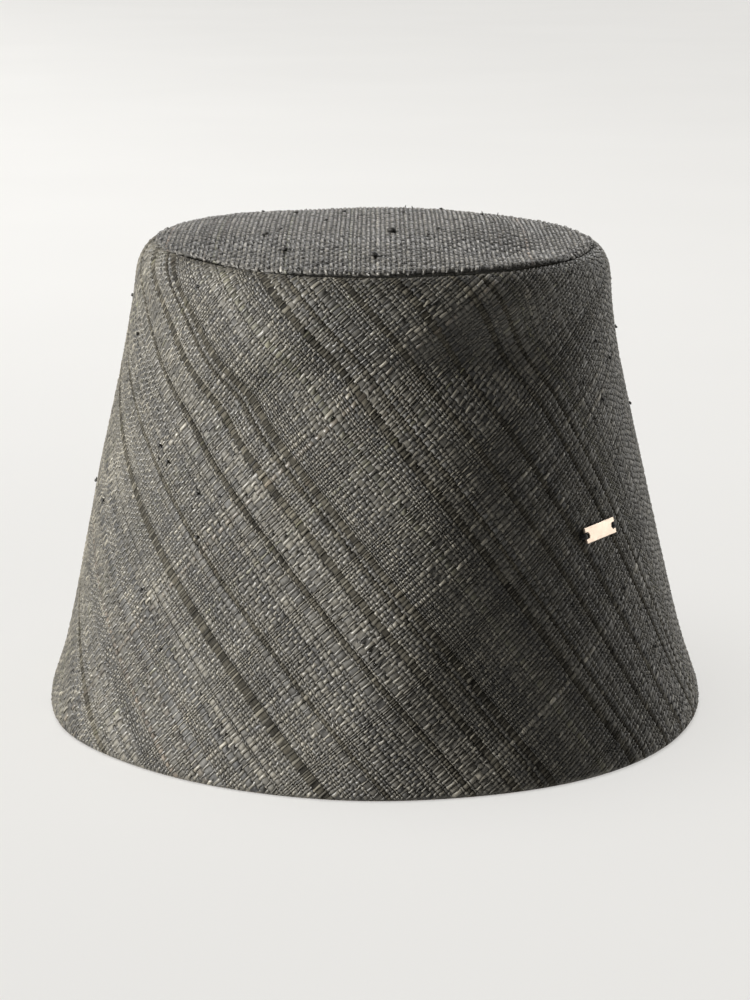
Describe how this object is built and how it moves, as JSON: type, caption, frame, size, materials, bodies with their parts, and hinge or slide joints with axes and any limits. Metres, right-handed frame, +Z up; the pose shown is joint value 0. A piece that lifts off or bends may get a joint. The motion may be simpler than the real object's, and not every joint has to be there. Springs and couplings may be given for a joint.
{
  "type": "raffia bucket hat",
  "caption": "Flared bucket hat of woven raffia with an oval tip set into a rounded shoulder, a plain rim that stands flat, and a small bare metal plate at one side of the front.",
  "frame": {"origin": "on the ground, at the middle of the rim", "axes": "+Z up through the tip, -Y to the hat's front, +X to the wearer's left, the side of the front where the plate sits"},
  "size_m": [0.2103, 0.2374, 0.1529],
  "materials": {
    "side_straw": "woven raffia, semi-matt, dark grey-green",
    "tip_straw": "woven raffia, semi-matt, grey",
    "plate_metal": "polished pale gold"
  },
  "bodies": {
    "root": {"side_wall": "side_straw", "crown_tip": "tip_straw", "name_plate": "plate_metal"}
  },
  "joints": []
}
